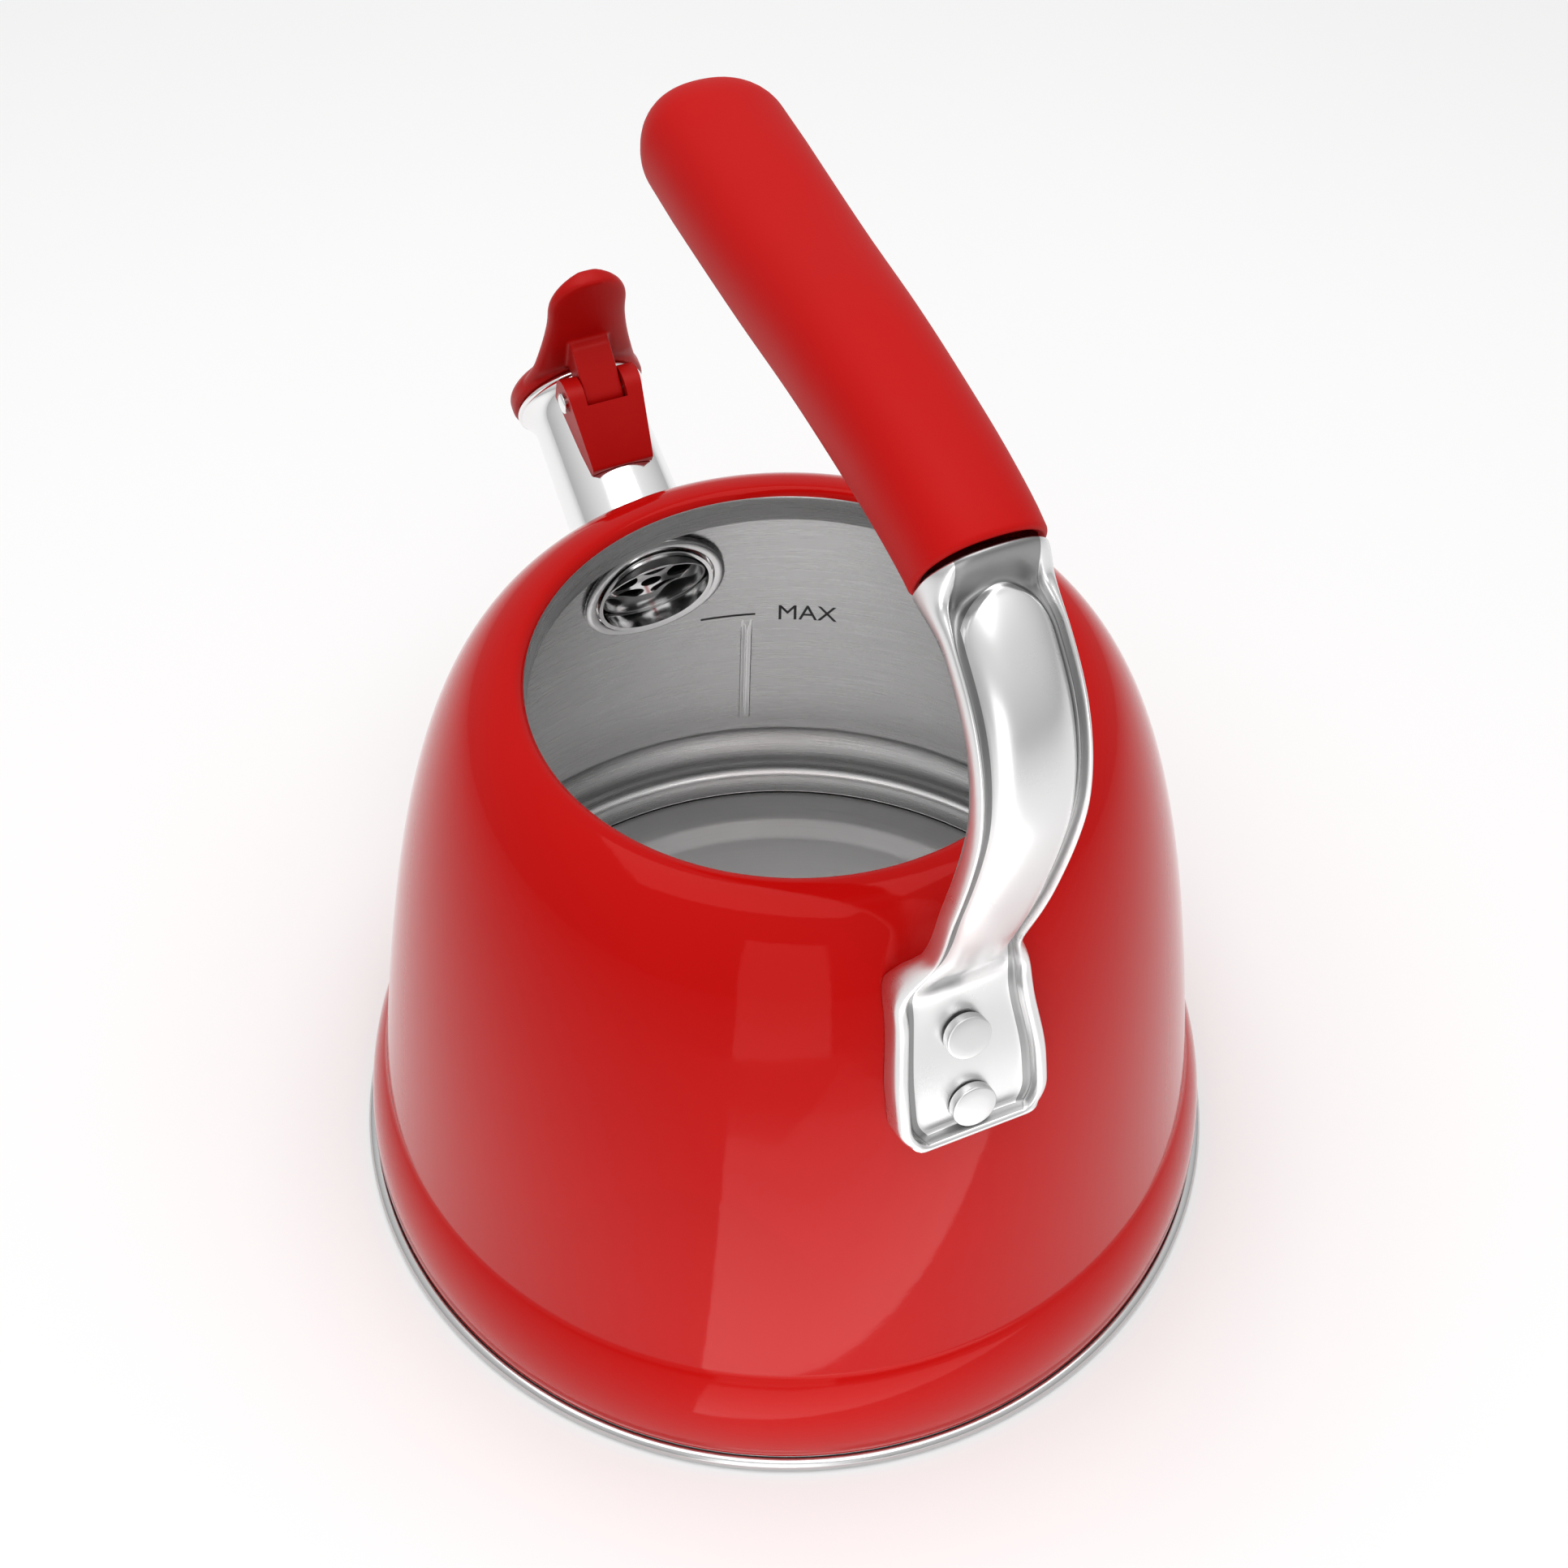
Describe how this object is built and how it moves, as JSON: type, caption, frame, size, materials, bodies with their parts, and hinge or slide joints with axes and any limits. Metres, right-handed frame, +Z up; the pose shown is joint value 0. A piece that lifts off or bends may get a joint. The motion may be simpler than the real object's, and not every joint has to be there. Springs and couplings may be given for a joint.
{
  "type": "stovetop whistling kettle",
  "caption": "Round enamelled stovetop kettle with an open mouth, a short capped spout with a sprung whistle cap and a high side-mounted grip.",
  "frame": {"origin": "centre of the base's flat underside, on the kettle's axis", "axes": "+Z up, +X towards the handle's bracket, -X towards the spout"},
  "size_m": [0.2513, 0.214, 0.2613],
  "materials": {
    "body_enamel": "glossy red enamel outside, brushed bare steel inside",
    "inner_steel": "fine brushed stainless steel",
    "base_steel": "satin stainless steel with a polished rolled rim",
    "core_aluminium": "plain mill finish",
    "polished_steel": "mirror-polished stainless steel",
    "spring_steel": "plain bright wire and screw steel",
    "red_plastic": "satin red moulded nylon",
    "soft_grip": "soft-touch red coating over moulded plastic"
  },
  "bodies": {
    "kettle": {"base_cap": "base_steel", "base_core": "core_aluminium", "bottom_pan": "inner_steel", "body_shell": "body_enamel", "spout_tube": "polished_steel", "spout_collar": "polished_steel", "spout_strainer": "polished_steel", "spout_clip": "red_plastic", "clip_rivet": "polished_steel", "hinge_pin": "polished_steel", "torsion_spring": "spring_steel", "handle_bracket": "polished_steel", "handle_grip": "soft_grip", "grip_screw": "spring_steel", "handle_rivet_low": "polished_steel", "handle_rivet_high": "polished_steel"},
    "cap": {"spout_cap": "red_plastic", "whistle_cup": "inner_steel", "whistle_disc": "inner_steel"}
  },
  "joints": [
    {"name": "cap_hinge", "type": "hinge", "parent": "kettle", "child": "cap", "pos_m": [-0.11532, 0, 0.13992], "axis": [0, 1, 0], "range_deg": [0, 70], "stiffness_Nm_per_rad": 0.06, "springref_deg": -34.38, "deforming": ["torsion_spring"]}
  ]
}
